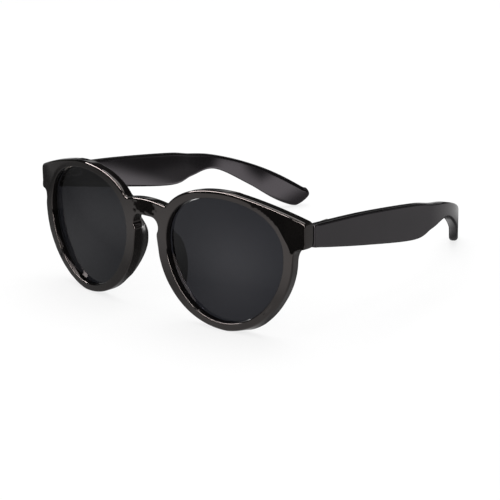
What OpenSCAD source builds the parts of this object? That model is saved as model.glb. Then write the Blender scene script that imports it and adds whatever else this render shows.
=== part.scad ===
/* [Front] */
// Radius of the face-form curve of the front, seen from above
wrap_r = 250; // [200:1:400]
// Thickness of the front sheet
front_t = 4.4; // [4.2:0.1:6]
// Half width of a lens opening, before its shoulders are drawn out
opening_a = 24.6; // [22:0.1:27]
// Half height of a lens opening
opening_b = 24; // [21:0.1:27]
// Distance from the middle of the bridge to the middle of a lens opening
opening_x = 36.4; // [34:0.1:40]
// How far the upper corners of an opening are drawn out sideways
opening_shoulder = 3.1; // [0:0.1:4]
// How far the top of an opening is flattened
opening_flat = 0.9; // [0:0.1:1.5]
// How far the bottom of an opening is drawn up
opening_lift = 0.8; // [0:0.1:1.5]
// Width of the rim above and below the lens
rim_low = 2.9; // [2.4:0.1:4]
// Width of the rim beside the nose
rim_nose = 4.7; // [3:0.1:5]
// Width of the rim towards the temple
rim_ear = 4.2; // [2.8:0.1:5]
// How much wider the lower half of the rim is away from the nose than towards it
rim_skew = 0.8; // [0:0.1:1.5]

/* [Bridge and end pieces] */
// Height of the top of the bridge above the middle of the openings
bridge_top = 18.5; // [17:0.1:21]
// Height of the roof of the keyhole
keyhole_top = 12.1; // [9:0.1:14]
// Radius of the round lobes of the keyhole
keyhole_lobe_r = 3.5; // [2:0.1:4]
// Distance from the middle to the centre of a keyhole lobe
keyhole_lobe_x = 3.1; // [2.6:0.1:5]
// How far an end piece stands out beyond the rim, at its front face
end_out = 4; // [3.8:0.1:8]
// Height of the top corner of an end piece
end_top = 19.3; // [18.6:0.1:21]
// Height of an end piece
end_h = 9.5; // [8.6:0.1:12]

/* [Nose pads] */
// Radius of a nose pad's rounded ridge, seen from the side
pad_r = 16.5; // [14:0.1:22]
// Distance that a pad's ridge stands behind the front
pad_depth = 6.4; // [4:0.1:9]
// Thickness of a nose pad
pad_t = 2.6; // [1.6:0.1:3]
// Angle at which the pads flare towards the back
pad_flare = 25; // [5:1:30]
// Height of the middle of a pad
pad_z = -3.2; // [-5:0.1:2]

/* [Lenses] */
// Thickness of a lens
lens_t = 1.4; // [1:0.1:1.6]
// Depth of the lens behind the front face
lens_recess = 2.4; // [2:0.1:2.6]
// Depth of the groove that the lens edge sits in
groove_depth = 0.9; // [0.5:0.1:1.4]

/* [Temples] */
// Length of a temple along its outer face, seen from above
temple_l = 132.2; // [125:0.5:150]
// Thickness of a temple
temple_t = 3.7; // [3.4:0.1:4.2]
// Angle by which the open temples lean in towards the head
toe_in = 2.7; // [0:0.1:8]
// Angle by which the ear end is curved inwards
ear_bend = 33; // [5:0.5:40]
// Distance from the front of the temple to the start of that curve
ear_bend_at = 71; // [60:1:80]
// Length of that curve
ear_bend_l = 39; // [25:1:45]
// Step down from the top of the end piece to the top edge of the temple
temple_step = 1.3; // [0.5:0.1:1.6]
// Height of the temple at the hinge
root_h = 8.2; // [7.4:0.1:10]
// Height of the temple at its deepest place
belly_h = 14; // [11:0.1:15]
// Height of the temple at the neck before the ear
neck_h = 6.2; // [5:0.1:9]
// Upright height of the flat end behind the ear
paddle_h = 12; // [9:0.1:13]
// Thickness of the wire inside a temple, across it
wire_t = 1.2; // [0.8:0.1:1.4]
// Height of that wire
wire_h = 1.8; // [1:0.1:2.4]

/* [Hinges] */
// Distance of a hinge axis in from the outer face of the temple
hinge_in = 5.7; // [5.6:0.1:6.1]
// Distance of the hinge axis behind the back of the front
hinge_back = 3.1; // [3:0.1:3.6]
// Distance of the middle of a hinge below the top of the end piece
hinge_drop = 4.8; // [4.6:0.1:5.2]
// Radius of the knuckles
knuckle_r = 1.6; // [1.4:0.05:1.65]
// Height of one knuckle
knuckle_h = 2.1; // [1.6:0.1:2.2]
// Radius of the hinge screw
pin_r = 0.7; // [0.5:0.05:0.85]
// Radius of the hinge screw's head
pin_head_r = 1.35; // [1.2:0.05:1.5]
// Thickness of the hinge leaves
leaf_t = 1; // [0.6:0.1:1.2]
// Length of the temple's leaf behind the knuckles
leaf_l = 9.4; // [9:0.1:12]
// Radius of the small fixing screws
fixing_r = 0.55; // [0.4:0.05:0.65]
// Radius of a fixing screw's head
fixing_head_r = 0.95; // [0.8:0.05:1]
// How far the fixing screws reach into the plastic
fixing_bite = 2.2; // [1.5:0.1:2.4]
// Distance between the two fixing screws of a leaf
fixing_pitch = 3.4; // [2.2:0.1:3.6]

/* [Fits] */
// Radial clearance of the hinge screw in the knuckles
pin_clear = 0.05; // [0.02:0.01:0.1]
// Clearance of pieces that are seated and fixed
seat_clear = 0.04; // [0.02:0.01:0.1]
// Gap between the knuckles, end to end
knuckle_gap = 0.1; // [0.05:0.05:0.2]
// Gap between the end pieces and the open temples
butt_gap = 0.3; // [0.2:0.05:0.5]

/* [Hidden] */
$fn = 48;
wrap_fn = 720;
outline_n = 96;
far_out = 200;
eps = 0.01;

// Opening: an oval with drawn-out shoulders, a is the angle round it
function opening_point(a) = [
    opening_x + opening_a * cos(a) + opening_shoulder * sin(2 * a) + 0.4 * cos(3 * a),
    opening_b * sin(a) - opening_lift * cos(2 * a) + opening_flat * sin(3 * a)
];
// Outward direction of the opening's edge
function opening_normal(a) =
    let (d = opening_point(a + 0.5) - opening_point(a - 0.5))
    [d[1], -d[0]] / norm(d);
// The rim is widest beside the nose and narrowest above and below
function rim_width(a) =
    rim_low + pow(cos(a), 2) * ((cos(a) < 0 ? rim_nose : rim_ear) - rim_low)
    + (sin(a) < 0 ? rim_skew * pow(sin(a), 2) * cos(a) : 0);
function outline(extra, rim = 0) = [
    for (i = [0 : outline_n - 1])
        let (a = 360 * i / outline_n)
        opening_point(a) + (extra + rim * rim_width(a)) * opening_normal(a)
];
// Depth of the face at a distance x from the middle, on a curve of radius r about the wrap centre
function wrap_y(x, r) = wrap_r - sqrt(r * r - x * x);
back_r = wrap_r - front_t;

// Places that follow from the rim: side of the end piece, top edge of the temple, hinge axis
rim_side = max([for (p = outline(0, 1)) p[0]]);
end_half_w = rim_side + end_out;
temple_top = end_top - temple_step;
butt_x = end_half_w + 0.3;
hinge_x = butt_x - hinge_in;
hinge_y = wrap_y(hinge_x, back_r) + hinge_back;
hinge_z = end_top - hinge_drop;

// Smooth curve through a list of points, steps points a span
function spline_point(p0, p1, p2, p3, s) =
    0.5 * ((2 * p1) + (p2 - p0) * s + (2 * p0 - 5 * p1 + 4 * p2 - p3) * s * s
    + (3 * p1 - p0 - 3 * p2 + p3) * s * s * s);
function spline(pts, steps) =
    let (n = len(pts))
    concat([
        for (i = [0 : n - 2], k = [0 : steps - 1])
            spline_point(pts[max(i - 1, 0)], pts[i], pts[i + 1], pts[min(i + 2, n - 1)], k / steps)
    ], [pts[n - 1]]);

// Plan of a temple: straight, then an arc inwards, then straight to the tip
butt_y = wrap_y(butt_x - temple_t / 2, back_r) + butt_gap;
bend_r = ear_bend_l / (ear_bend * PI / 180);
function plan_angle(t) =
    toe_in + ear_bend * min(max((t - ear_bend_at) / ear_bend_l, 0), 1);
function plan_out(t) =
    t < ear_bend_at ? [-t * sin(toe_in), t * cos(toe_in)]
    : t < ear_bend_at + ear_bend_l
    ? plan_out(ear_bend_at - eps) + bend_r * [cos(plan_angle(t)) - cos(toe_in), sin(plan_angle(t)) - sin(toe_in)]
    : plan_out(ear_bend_at + ear_bend_l - eps)
      + (t - ear_bend_at - ear_bend_l) * [-sin(toe_in + ear_bend), cos(toe_in + ear_bend)];
// Point at station t, a distance s in from the outer face
function plan_at(t, s) =
    [butt_x, butt_y] + plan_out(t) - s * [cos(plan_angle(t)), sin(plan_angle(t))];

// Side view of a temple: station, height of the top edge below its front end, height of the section
ribs = [
    [-3, 0, root_h],
    [30, 1.9, (root_h + belly_h) / 2 + 1.1],
    [62, 5.3, belly_h],
    [74, 7.5, (belly_h + neck_h) / 2 - 0.2],
    [87, 9.8, neck_h],
    [104, 15.1, (neck_h + paddle_h) / 2 + 0.5],
    [120, 22.3, paddle_h]
];
last = ribs[len(ribs) - 1];
past = 22;
top_edge = concat(
    [for (r = ribs) [r[0], temple_top - r[1]]],
    [[last[0] + past, temple_top - last[1] - 0.625 * past]]
);
low_edge = concat(
    [for (r = ribs) [r[0], temple_top - r[1] - r[2]]],
    [[last[0] + past, temple_top - last[1] - last[2] - 0.3 * past]]
);
mid_line = [for (i = [1 : len(ribs) - 1]) [ribs[i][0], temple_top - ribs[i][1] - ribs[i][2] / 2]];
top_curve = spline(top_edge, 6);
low_curve = spline(low_edge, 6);
side_outline = concat(top_curve, [for (i = [len(low_curve) - 1 : -1 : 0]) low_curve[i]]);
// Rounded end, seen square to the tip
nose_z = temple_top - last[1] - 0.625 * (temple_l - last[0]) - 0.8;
tip_curve = spline([
    [temple_l - 1.4, nose_z + 2.6],
    [temple_l, nose_z],
    [temple_l - 1.2, nose_z - 2],
    [temple_l - 4.4, nose_z - 4.4],
    [temple_l - 9, nose_z - 6],
    [temple_l - 16, nose_z - 7.2]
], 5);

// Standing on the lower edges of the rims and on the tips
rim_low_point = [
    wrap_y(opening_x, back_r),
    min([for (p = outline(0, 1)) p[1]])
];
// Underside of the tip at a station t and a distance s in from the outer face
tip_low = [for (i = [len(tip_curve) - 1 : -1 : 5]) tip_curve[i]];
function tip_z(t, s) =
    max(lookup(t + (temple_t / 2 - s) * tan(toe_in + ear_bend), low_curve), lookup(t, tip_low));
tip_points = [
    for (t = [last[0] : 0.5 : temple_l], s = [0, temple_t])
        [plan_at(t, s)[1], tip_z(t, s)]
];
tilt = min([for (p = tip_points) atan2(p[1] - rim_low_point[1], p[0] - rim_low_point[0])]);
function stood(p) = [p[0] * cos(tilt) + p[1] * sin(tilt), p[1] * cos(tilt) - p[0] * sin(tilt)];
back_end = max([for (p = tip_curve) stood([plan_at(p[0], 0)[1], p[1]])[0]]);
front_end = min([for (p = outline(0, 1)) stood([wrap_y(p[0], wrap_r), p[1]])[0]]);
floor_z = stood(rim_low_point)[1];

// Sets the spectacles down: middle of the footprint at the origin, floor at z = 0
module stand() {
    translate([0, -(front_end + back_end) / 2, -floor_z])
        rotate([-tilt, 0, 0])
            children();
}
// Right-hand pieces are the left-hand ones mirrored
module side(right) {
    mirror([right ? 1 : 0, 0, 0])
        children();
}
// Extrudes a shape drawn in x and z along y, from y0 for a length
module through_y(y0, length) {
    translate([0, y0 + length, 0])
        rotate([90, 0, 0])
            linear_extrude(length)
                children();
}
// Shell round the wrap axis, from depth_0 to depth_1 behind the face
module wrap_shell(depth_0, depth_1) {
    translate([0, wrap_r, -far_out / 2])
        difference() {
            cylinder(r = wrap_r - depth_0, h = far_out, $fn = wrap_fn);
            translate([0, 0, -1])
                cylinder(r = wrap_r - depth_1, h = far_out + 2, $fn = wrap_fn);
        }
}

notch_x = keyhole_lobe_x + keyhole_lobe_r * 0.74;
notch_z = keyhole_top - keyhole_lobe_r - 3;
// Tapers into the nose sides of the rims below the keyhole's notches
web_low = notch_z - 5;
module bridge_shape() {
    bridge_r = 46;
    half = 11;
    intersection() {
        translate([0, bridge_top - bridge_r])
            circle(r = bridge_r, $fn = 180);
        translate([-half, web_low])
            square([2 * half, bridge_top - web_low]);
    }
}
module keyhole_shape() {
    lobe_z = keyhole_top - keyhole_lobe_r;
    for (s = [-1, 1])
        translate([s * keyhole_lobe_x, lobe_z])
            circle(r = keyhole_lobe_r);
    translate([-keyhole_lobe_x, lobe_z])
        square([2 * keyhole_lobe_x, keyhole_lobe_r]);
    polygon([
        [-notch_x, lobe_z],
        [-notch_x, notch_z],
        [-notch_x - 1, web_low],
        [-notch_x - 1, web_low - 1],
        [notch_x + 1, web_low - 1],
        [notch_x + 1, web_low],
        [notch_x, notch_z],
        [notch_x, lobe_z]
    ]);
}
function rim_point(a) = opening_point(a) + rim_width(a) * opening_normal(a);
// End piece: its top edge leaves the rim at the brow, a fillet joins it to the rim below
module end_shape() {
    brow = rim_point(78) - [0, 0.4];
    end_low = end_top - end_h;
    outer = end_half_w + 6;
    mid = [(brow[0] + end_half_w) / 2, (brow[1] + end_top) / 2 + 0.7];
    past_corner = (outer - mid[0]) / (end_half_w - mid[0]);
    fillet_r = 2.7;
    fillet = [rim_side + fillet_r - 0.1, end_low - fillet_r];
    difference() {
        polygon([
            brow,
            mid,
            mid + past_corner * ([end_half_w, end_top] - mid),
            [outer, end_low],
            [fillet[0], end_low],
            fillet,
            [brow[0], fillet[1]]
        ]);
        translate(fillet)
            circle(r = fillet_r);
    }
}
module both_sides() {
    children();
    mirror([1, 0, 0])
        children();
}
// Cuts the sides of the end pieces
module end_sides() {
    translate([-end_half_w, -10, -far_out / 2])
        cube([2 * end_half_w, 40, far_out]);
}
module lens_groove() {
    intersection() {
        through_y(-5, 40)
            polygon(outline(groove_depth + seat_clear));
        wrap_shell(lens_recess - seat_clear, lens_recess + lens_t + seat_clear);
    }
}

// Seat of the front leaf: on the back of the front, turned to lie flat on it
leaf_seat_x = hinge_x - 1.3;
leaf_seat_a = asin(leaf_seat_x / back_r);
module on_front_seat() {
    translate([leaf_seat_x, wrap_y(leaf_seat_x, back_r), hinge_z])
        rotate([0, 0, leaf_seat_a])
            children();
}
hinge_in_seat = let (d = [hinge_x - leaf_seat_x, hinge_y - wrap_y(leaf_seat_x, back_r)])
    [d[0] * cos(leaf_seat_a) + d[1] * sin(leaf_seat_a), d[1] * cos(leaf_seat_a) - d[0] * sin(leaf_seat_a)];
stack_h = 3 * knuckle_h + 2 * knuckle_gap;
front_screw_x = -1.4;
module front_screw_places() {
    on_front_seat()
        for (s = [-1, 1])
            translate([front_screw_x, seat_clear + leaf_t, s * fixing_pitch / 2])
                rotate([90, 0, 0])
                    children();
}
// Seat of the temple's leaf: on the inner face of the temple, x outwards and y along it
module on_temple() {
    translate([butt_x, butt_y, hinge_z])
        rotate([0, 0, toe_in])
            children();
}
hinge_in_temple = let (d = [hinge_x - butt_x, hinge_y - butt_y])
    [d[0] * cos(toe_in) + d[1] * sin(toe_in), d[1] * cos(toe_in) - d[0] * sin(toe_in)];
temple_leaf_y = hinge_in_temple[1] + knuckle_r + 0.25;
temple_screw_y = [temple_leaf_y + 2.6, temple_leaf_y + 2.6 + fixing_pitch + 0.6];
module temple_screw_places() {
    on_temple()
        for (y = temple_screw_y)
            translate([-temple_t - seat_clear - leaf_t, y, 0])
                rotate([0, 90, 0])
                    children();
}
// A small screw: z = 0 is under its head, and its point is at +z
module fixing_hole() {
    cylinder(r = fixing_r + seat_clear, h = leaf_t + seat_clear + fixing_bite + 0.2);
}
module fixing_screw() {
    head_h = 0.5;
    slot = 0.3;
    difference() {
        union() {
            translate([0, 0, -head_h - seat_clear])
                cylinder(r = fixing_head_r, h = head_h);
            translate([0, 0, -seat_clear - eps])
                cylinder(r = fixing_r, h = leaf_t + fixing_bite + seat_clear);
        }
        translate([-fixing_head_r, -slot / 2, -head_h - seat_clear - eps])
            cube([2 * fixing_head_r, slot, slot]);
    }
}
module leaf_fixing_hole() {
    translate([0, 0, -1])
        cylinder(r = fixing_r + seat_clear, h = leaf_t + 2);
}
// Height of the foot of a knuckle in the stack, 0 at the bottom
function level_z(level) = -stack_h / 2 + level * (knuckle_h + knuckle_gap);
// One knuckle with an arm of a given width that leaves it downwards in y
module knuckle(arm_w, arm_l) {
    linear_extrude(knuckle_h)
        difference() {
            union() {
                circle(r = knuckle_r);
                translate([-arm_w / 2, -arm_l])
                    square([arm_w, arm_l]);
            }
            circle(r = pin_r + pin_clear);
        }
}

module front_frame() {
    color([0.07, 0.065, 0.065])
        stand()
            difference() {
                intersection() {
                    union() {
                        through_y(-5, 40)
                            bridge_shape();
                        both_sides() {
                            through_y(-5, 40)
                                polygon(outline(0, 1));
                            through_y(-5, 40)
                                end_shape();
                        }
                    }
                    wrap_shell(0, front_t);
                    end_sides();
                }
                through_y(-6, 42)
                    keyhole_shape();
                both_sides() {
                    through_y(-6, 42)
                        polygon(outline(0));
                    lens_groove();
                    front_screw_places()
                        fixing_hole();
                }
            }
}
module lens(right) {
    color([0.15, 0.15, 0.16])
        stand()
            side(right)
                intersection() {
                    through_y(-5, 40)
                        polygon(outline(groove_depth));
                    wrap_shell(lens_recess, lens_recess + lens_t);
                }
}
// A plate along the nose side of the rim, flared backwards, with a round ridge
module nose_pad(right) {
    pivot_y = wrap_y(opening_x - opening_a - rim_nose, back_r);
    pivot_x = opening_x - opening_a - rim_nose / 2;
    ridge_y = pivot_y + pad_depth - pad_r;
    angles = [for (a = [115 : 5 : 235]) a];
    strip = concat(
        [for (a = angles) opening_point(a) + (rim_width(a) - 0.2) * opening_normal(a)],
        [for (i = [len(angles) - 1 : -1 : 0])
            opening_point(angles[i]) + (rim_width(angles[i]) - 0.2 - pad_t) * opening_normal(angles[i])]
    );
    color([0.07, 0.065, 0.065])
        stand()
            side(right)
                intersection() {
                    translate([pivot_x, pivot_y, 0])
                        rotate([0, 0, -pad_flare])
                            translate([-pivot_x, -pivot_y, 0])
                                through_y(-5, 40)
                                    polygon(strip);
                    translate([0, ridge_y, pad_z])
                        rotate([0, 90, 0])
                            cylinder(r = pad_r, h = far_out, center = true, $fn = 96);
                    translate([0, wrap_r, -far_out / 2])
                        cylinder(r = back_r - seat_clear, h = far_out, $fn = wrap_fn);
                }
}
module front_hinge_leaf(right) {
    inner = front_screw_x - 1.1;
    arm_w = 2.2;
    color([0.72, 0.66, 0.6])
        stand()
            side(right)
                union() {
                    difference() {
                        on_front_seat()
                            translate([inner, seat_clear, -stack_h / 2 + 0.2])
                                cube([hinge_in_seat[0] + arm_w / 2 - 0.1 - inner, leaf_t, stack_h - 0.4]);
                        front_screw_places()
                            leaf_fixing_hole();
                    }
                    for (level = [0, 2])
                        translate([hinge_x, hinge_y, hinge_z + level_z(level)])
                            rotate([0, 0, leaf_seat_a])
                                knuckle(arm_w, hinge_in_seat[1] - seat_clear - leaf_t / 2);
                }
}
module front_leaf_screws(right) {
    color([0.72, 0.66, 0.6])
        stand()
            side(right)
                front_screw_places()
                    fixing_screw();
}
module hinge_screw(right) {
    head_h = 0.6;
    slot = 0.35;
    top = stack_h / 2;
    color([0.8, 0.74, 0.68])
        stand()
            side(right)
                translate([hinge_x, hinge_y, hinge_z])
                    difference() {
                        union() {
                            translate([0, 0, -stack_h / 2])
                                cylinder(r = pin_r, h = stack_h + pin_clear + eps);
                            translate([0, 0, top + pin_clear])
                                cylinder(r = pin_head_r, h = head_h);
                        }
                        translate([-pin_head_r, -slot / 2, top + pin_clear + head_h - slot])
                            cube([2 * pin_head_r, slot, slot + eps]);
                    }
}
// Band between two distances in from the outer face, seen from above
module plan_band(s0, s1, t0, t1) {
    steps = concat(
        [t0, ear_bend_at],
        [for (k = [1 : 11]) ear_bend_at + ear_bend_l * k / 12],
        [ear_bend_at + ear_bend_l, t1]
    );
    translate([0, 0, -far_out / 2])
        linear_extrude(far_out)
            polygon(concat(
                [for (t = steps) plan_at(t, s0)],
                [for (i = [len(steps) - 1 : -1 : 0]) plan_at(steps[i], s1)]
            ));
}
// Turns a list of stations and heights into a shape seen from the side, and extrudes it across
module side_cut(pts) {
    translate([-far_out / 2, 0, 0])
        rotate([90, 0, 90])
            linear_extrude(far_out + 100)
                polygon([for (p = pts) [plan_at(p[0], temple_t / 2)[1], p[1]]]);
}
// Everything in front of the rounded end of the tip
module tip_cut() {
    end = plan_at(temple_l, temple_t / 2);
    n = len(tip_curve);
    translate([end[0], end[1], 0])
        rotate([0, 0, toe_in + ear_bend])
            translate([-far_out / 2, 0, 0])
                rotate([90, 0, 90])
                    linear_extrude(far_out)
                        polygon(concat(
                            [[-far_out, far_out], [tip_curve[0][0] - temple_l, far_out]],
                            [for (p = tip_curve) [p[0] - temple_l, p[1]]],
                            [[tip_curve[n - 1][0] - temple_l, -far_out], [-far_out, -far_out]]
                        ));
}
function wire_outline(clear) =
    let (
        line = spline(mid_line, 5),
        half = wire_h / 2 + clear,
        n = len(line),
        x = [for (i = [0 : n - 1]) line[i][0] + (i == 0 ? -clear : i == n - 1 ? clear : 0)]
    )
    concat(
        [for (i = [0 : n - 1]) [x[i], line[i][1] + half]],
        [for (i = [n - 1 : -1 : 0]) [x[i], line[i][1] - half]]
    );
module wire_solid(clear) {
    middle = temple_t / 2;
    intersection() {
        side_cut(wire_outline(clear));
        plan_band(middle - wire_t / 2 - clear, middle + wire_t / 2 + clear, 20, temple_l);
    }
}
module temple(right) {
    color([0.07, 0.065, 0.065])
        stand()
            side(right)
                difference() {
                    intersection() {
                        side_cut(side_outline);
                        plan_band(0, temple_t, -4, temple_l + 8);
                        tip_cut();
                        translate([0, wrap_r, -far_out / 2])
                            cylinder(r = back_r - butt_gap, h = far_out, $fn = wrap_fn);
                    }
                    wire_solid(seat_clear);
                    temple_screw_places()
                        fixing_hole();
                }
}
module temple_core(right) {
    color([0.75, 0.75, 0.77])
        stand()
            side(right)
                wire_solid(0);
}
module temple_hinge_leaf(right) {
    plate_x = -temple_t - seat_clear - leaf_t;
    arm_l = plate_x - hinge_in_temple[0] + leaf_t / 2;
    color([0.72, 0.66, 0.6])
        stand()
            side(right)
                union() {
                    difference() {
                        on_temple()
                            translate([plate_x, temple_leaf_y, -stack_h / 2 + 0.9])
                                cube([leaf_t, leaf_l, stack_h - 1.8]);
                        temple_screw_places()
                            leaf_fixing_hole();
                    }
                    translate([hinge_x, hinge_y, hinge_z + level_z(1)])
                        rotate([0, 0, toe_in])
                            linear_extrude(knuckle_h)
                                difference() {
                                    union() {
                                        circle(r = knuckle_r);
                                        polygon([
                                            [0, -0.4],
                                            [0, knuckle_r - 0.2],
                                            [arm_l, knuckle_r + 1.5],
                                            [arm_l + leaf_t / 2, knuckle_r + 1.5],
                                            [arm_l + leaf_t / 2, -0.4]
                                        ]);
                                    }
                                    circle(r = pin_r + pin_clear);
                                }
                }
}
module temple_leaf_screws(right) {
    color([0.72, 0.66, 0.6])
        stand()
            side(right)
                temple_screw_places()
                    fixing_screw();
}

front_frame();
lens(false);  // lens_left
lens(true);  // lens_right
nose_pad(false);  // nose_pad_left
nose_pad(true);  // nose_pad_right
front_hinge_leaf(false);  // front_hinge_leaf_left
front_hinge_leaf(true);  // front_hinge_leaf_right
front_leaf_screws(false);  // front_leaf_screws_left
front_leaf_screws(true);  // front_leaf_screws_right
hinge_screw(false);  // hinge_screw_left
hinge_screw(true);  // hinge_screw_right
temple(false);  // temple_left
temple(true);  // temple_right
temple_hinge_leaf(false);  // temple_hinge_leaf_left
temple_hinge_leaf(true);  // temple_hinge_leaf_right
temple_leaf_screws(false);  // temple_leaf_screws_left
temple_leaf_screws(true);  // temple_leaf_screws_right
temple_core(false);  // temple_core_left
temple_core(true);  // temple_core_right
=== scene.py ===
import bpy
import bmesh
import math
import numpy as np
from mathutils import Matrix, Vector, geometry
from types import SimpleNamespace


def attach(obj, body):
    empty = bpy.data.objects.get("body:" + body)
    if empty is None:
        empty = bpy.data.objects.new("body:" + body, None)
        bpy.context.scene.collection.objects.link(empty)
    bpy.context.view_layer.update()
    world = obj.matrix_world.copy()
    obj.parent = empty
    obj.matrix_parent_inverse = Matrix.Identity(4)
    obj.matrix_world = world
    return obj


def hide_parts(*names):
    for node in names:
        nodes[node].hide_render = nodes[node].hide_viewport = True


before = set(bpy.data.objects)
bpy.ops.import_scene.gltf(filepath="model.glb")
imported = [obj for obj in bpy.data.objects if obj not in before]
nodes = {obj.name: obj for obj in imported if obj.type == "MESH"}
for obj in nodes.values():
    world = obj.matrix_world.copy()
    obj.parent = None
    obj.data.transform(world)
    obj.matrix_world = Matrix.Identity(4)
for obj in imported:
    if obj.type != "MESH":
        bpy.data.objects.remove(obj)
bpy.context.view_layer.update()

# Sizes are millimetres: x and z as on the upright front, y backwards from the middle of its face
stance = dict(lean=3.1061, back=-69.2077, up=25.5753)  # how that front stands on the floor


def place(points):  # millimetres on the upright front to metres on the floor
    p = np.atleast_2d(np.asarray(points, float))
    a = math.radians(stance["lean"])
    y = p[:, 1] * math.cos(a) + p[:, 2] * math.sin(a) + stance["back"]
    z = p[:, 2] * math.cos(a) - p[:, 1] * math.sin(a) + stance["up"]
    return np.stack([p[:, 0], y, z], 1) / 1000


def turned(direction):  # a direction on the upright front, leaned back
    a = math.radians(stance["lean"])
    x, y, z = direction
    return Vector((x, y * math.cos(a) + z * math.sin(a), z * math.cos(a) - y * math.sin(a)))


# Camera of the photograph
view = dict(place=(432.2, -402.5, 170.9), right=(0.7305, 0.6828, -0.0113), up=(-0.1839, 0.2127, 0.9596),
            focal=118.54, sensor=36, near=0.01)
camData = bpy.data.cameras.new("photoCamera")
camData.lens = view["focal"]
camData.sensor_width = view["sensor"]
camData.clip_start = view["near"]
camera = bpy.data.objects.new("photoCamera", camData)
bpy.context.scene.collection.objects.link(camera)
right = turned(view["right"]).normalized()
up = turned(view["up"])
back = right.cross(up).normalized()
up = back.cross(right)
turn = Matrix((right, up, back)).transposed().to_4x4()
camera.matrix_world = Matrix.Translation(Vector(place(view["place"])[0])) @ turn
bpy.context.scene.camera = camera
print("camera set")


# Plates with rounded edges. Edge radii follow the outline, so they may differ from point to point. A loop
# just inside each edge holds the flat, and the points that fill it keep clear of the loops
plate = dict(hold=0.22, rowShare=0.87, clearShare=0.55)
rounding = dict(bendSoft=0.5, bendFrom=0.25, bendOver=0.35, reach=1.6, boost=1.8, base=0.5, deepShare=0.9)


def evenLoop(points, step):  # closed line, resampled at even spacing
    p = np.asarray(points, float)
    p = np.vstack([p, p[:1]])
    s = np.concatenate([[0], np.cumsum(np.hypot(*np.diff(p, axis=0).T))])
    n = max(8, int(round(s[-1] / step)))
    t = np.arange(n) / n * s[-1]
    return np.stack([np.interp(t, s, p[:, 0]), np.interp(t, s, p[:, 1])], 1)


def softened(values, step, sigma):  # gaussian smoothing round a closed loop
    n = len(values)
    f = np.fft.fftfreq(n, d=step)
    keep = np.exp(-2 * (math.pi * sigma * f) ** 2)
    spread = np.fft.fft(values, axis=0)
    return np.real(np.fft.ifft(spread * (keep[:, None] if values.ndim == 2 else keep), axis=0))


def loopNormals(loop):  # to the right of the walking direction, so away from the plastic
    d = np.roll(loop, -1, 0) - np.roll(loop, 1, 0)
    d /= np.maximum(np.hypot(d[:, 0], d[:, 1]), 1e-9)[:, None]
    return np.stack([d[:, 1], -d[:, 0]], 1)


def loopBends(loop, step):  # curvature, positive where the outline is convex
    d = np.roll(loop, -1, 0) - loop
    a = np.arctan2(d[:, 1], d[:, 0])
    turnBy = (a - np.roll(a, 1) + math.pi) % (2 * math.pi) - math.pi
    return turnBy / step


def inset(loop, step, depth):  # the loop moved into the plastic, rounder at sharp corners
    c = rounding
    bends = softened(loopBends(loop, step), step, c["bendSoft"])
    sharp = np.clip((bends - c["bendFrom"]) / c["bendOver"], 0, 1)
    sharp = np.clip(softened(sharp, step, c["reach"]) * c["boost"], 0, 1)[:, None]
    rounder = softened(loop, step, c["base"] + c["deepShare"] * float(np.max(depth)))
    normals = loopNormals(loop) * (1 - sharp) + loopNormals(rounder) * sharp
    normals /= np.hypot(normals[:, 0], normals[:, 1])[:, None]
    return loop * (1 - sharp) + rounder * sharp - normals * np.broadcast_to(depth, len(loop))[:, None]


def insideLoop(points, loop):  # even-odd test of many points
    x, y = points[:, 0][:, None], points[:, 1][:, None]
    x0, y0 = loop[:, 0][None], loop[:, 1][None]
    x1, y1 = np.roll(loop[:, 0], -1)[None], np.roll(loop[:, 1], -1)[None]
    crosses = ((y0 > y) != (y1 > y)) & (x < (x1 - x0) * (y - y0) / np.where(y1 == y0, 1e-12, y1 - y0) + x0)
    return crosses.sum(1) % 2 == 1


def fillBetween(loops, pitch):  # triangles between an outline and its holes, as (points, faces)
    pts, chunk = np.vstack(loops), 200
    edges, start = [], 0
    for loop in loops:
        n = len(loop)
        edges += [(start + i, start + (i + 1) % n) for i in range(n)]
        start += n
    lo, hi = loops[0].min(0), loops[0].max(0)
    gx, gy = np.meshgrid(np.arange(lo[0], hi[0], pitch), np.arange(lo[1], hi[1], pitch * plate["rowShare"]))
    gx[1::2] += pitch / 2
    grid = np.stack([gx.ravel(), gy.ravel()], 1)
    keep = insideLoop(grid, loops[0])
    for hole in loops[1:]:
        keep &= ~insideLoop(grid, hole)
    grid = grid[keep]
    clear = np.ones(len(grid), bool)
    for k in range(0, len(pts), chunk):
        d = grid[:, None] - pts[None, k:k + chunk]
        clear &= (d ** 2).sum(2).min(1) > (plate["clearShare"] * pitch) ** 2
    pts = np.vstack([pts, grid[clear]])
    made = geometry.delaunay_2d_cdt([Vector(p) for p in pts], edges, [], 1, 1e-7)
    source = [ids[0] if ids else -1 for ids in made[3]]
    extra = [Vector(v) for v, s in zip(made[0], source) if s < 0]
    if extra:
        print("note: outlines cross at", [tuple(round(c, 2) for c in v) for v in extra[:4]])
    faces = [f for f in made[2] if all(source[i] >= 0 for i in f)]
    middle = np.array([np.mean([made[0][i] for i in f], 0) for f in faces])
    keep = insideLoop(middle, loops[0])
    for hole in loops[1:]:
        keep &= ~insideLoop(middle, hole)
    return pts, [[source[i] for i in f] for f, k in zip(faces, keep) if k]


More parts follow.
